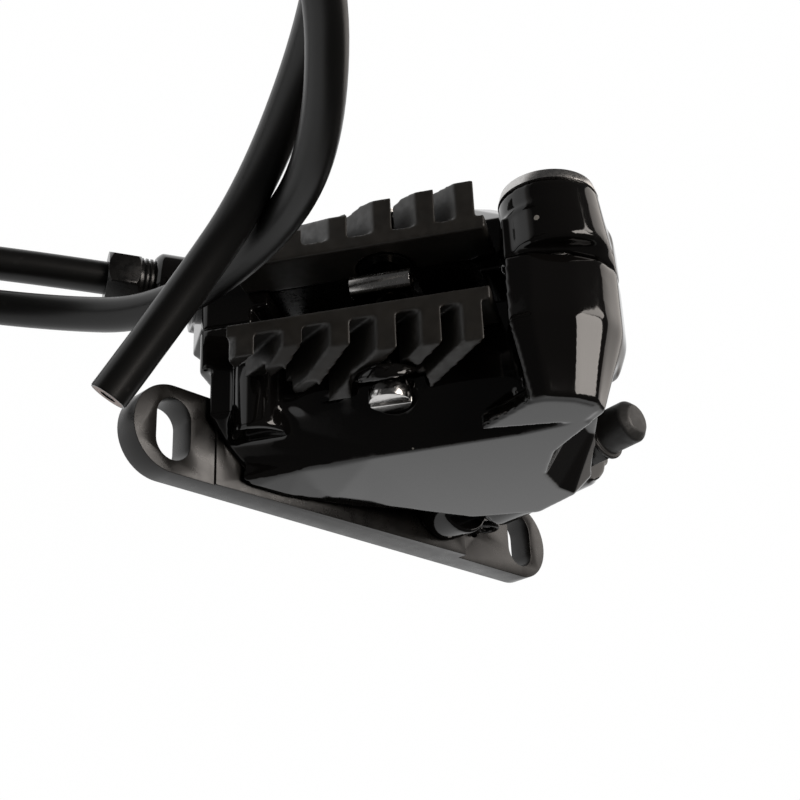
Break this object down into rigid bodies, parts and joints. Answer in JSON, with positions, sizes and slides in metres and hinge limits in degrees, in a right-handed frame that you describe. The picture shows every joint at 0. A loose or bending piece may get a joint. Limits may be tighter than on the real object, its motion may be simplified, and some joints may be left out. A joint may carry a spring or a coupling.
{
  "type": "bicycle disc brake caliper",
  "caption": "Flat-mount hydraulic bicycle disc brake caliper on a slotted adapter plate, with finned pads, a capped bleed screw and a coiled length of brake hose.",
  "frame": {"origin": "the adapter plate's underside, midway between its slots", "axes": "+X along the plate towards the bleed end, -Y towards the outboard face, +Z away from the fork"},
  "size_m": [0.1937, 0.0432, 0.1191],
  "materials": {
    "black_paint": "gloss black paint",
    "black_anodised": "satin black anodised",
    "steel": "brushed",
    "black_steel": "satin",
    "bright_steel": "polished",
    "fins": "satin anodised",
    "friction": "rough",
    "piston": "satin",
    "rubber": "matt",
    "brass": "turned",
    "hose": "satin"
  },
  "bodies": {
    "caliper": {"adapter_plate": "black_anodised", "outboard_body_half": "black_paint", "inboard_body_half": "black_paint", "upper_body_bolt": "steel", "lower_body_bolt": "steel", "caliper_fixing_bolts": "black_steel", "bolt_fixing_clip": "steel", "crossover_seal": "rubber", "pad_axle": "bright_steel", "axle_clip": "steel", "pad_spring": "bright_steel", "piston_seal_outboard": "rubber", "piston_seal_inboard": "rubber", "hose_nut": "black_steel", "olive": "brass", "hose_insert": "brass", "brake_hose": "hose"},
    "outboard_piston": {"piston_outboard": "piston"},
    "inboard_piston": {"piston_inboard": "piston"},
    "outboard_pad": {"pad_backplate_outboard": "steel", "pad_friction_outboard": "friction", "pad_fins_outboard": "fins"},
    "inboard_pad": {"pad_backplate_inboard": "steel", "pad_friction_inboard": "friction", "pad_fins_inboard": "fins"},
    "nipple": {"bleed_nipple": "black_steel"},
    "cap": {"bleed_cap": "rubber"}
  },
  "joints": [
    {"name": "outboard_piston_slide", "type": "slide", "parent": "caliper", "child": "outboard_piston", "axis": [0, 1, 0], "range_m": [0, 0.001]},
    {"name": "inboard_piston_slide", "type": "slide", "parent": "caliper", "child": "inboard_piston", "axis": [0, -1, 0], "range_m": [0, 0.001]},
    {"name": "outboard_pad_slide", "type": "slide", "parent": "caliper", "child": "outboard_pad", "axis": [0, 1, 0], "range_m": [0, 0.001]},
    {"name": "inboard_pad_slide", "type": "slide", "parent": "caliper", "child": "inboard_pad", "axis": [0, -1, 0], "range_m": [0, 0.001]},
    {"name": "bleed_nipple_turn", "type": "hinge", "parent": "caliper", "child": "nipple", "pos_m": [0.0223, 0.0054, 0.0284], "axis": [0, 0.0698, 0.9976], "range_deg": [0, 180]},
    {"name": "bleed_cap_pull", "type": "slide", "parent": "nipple", "child": "cap", "axis": [0, 0.0698, 0.9976], "range_m": [0, 0.009]}
  ],
  "couplings": [
    {"joint": "inboard_piston_slide", "follows": "outboard_piston_slide", "ratio": 1},
    {"joint": "outboard_pad_slide", "follows": "outboard_piston_slide", "ratio": 1},
    {"joint": "inboard_pad_slide", "follows": "outboard_piston_slide", "ratio": 1}
  ]
}
